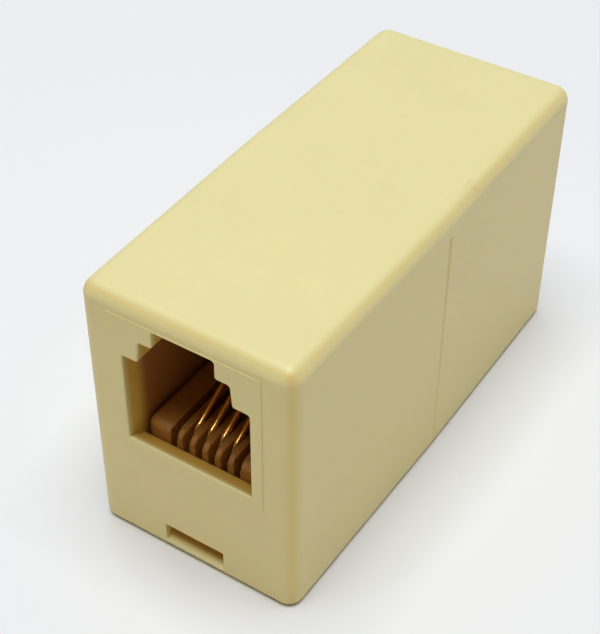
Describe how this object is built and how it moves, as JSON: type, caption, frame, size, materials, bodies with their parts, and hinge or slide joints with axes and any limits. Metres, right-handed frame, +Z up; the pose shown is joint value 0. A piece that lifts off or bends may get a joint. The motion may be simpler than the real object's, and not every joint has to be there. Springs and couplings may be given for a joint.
{
  "type": "telephone inline coupler",
  "caption": "Ivory box-shaped inline coupler with a stepped modular jack at each end and spring wires between them.",
  "frame": {"origin": "middle of the base, on the surface that the coupler stands on", "axes": "+Y from the front jack to the rear jack, +X to the right seen from the front jack, +Z up towards the latch side of the jacks"},
  "size_m": [0.0166, 0.0374, 0.0215],
  "materials": {
    "housing": "satin ivory moulding with a fine even surface",
    "carrier": "amber-brown moulding, as it shows inside the jack",
    "contact": "bright gold plating"
  },
  "bodies": {
    "root": {"front_shell": "housing", "rear_shell": "housing", "contact_carrier": "carrier", "contact_wire_1": "contact", "contact_wire_2": "contact", "contact_wire_3": "contact", "contact_wire_4": "contact"}
  },
  "joints": []
}
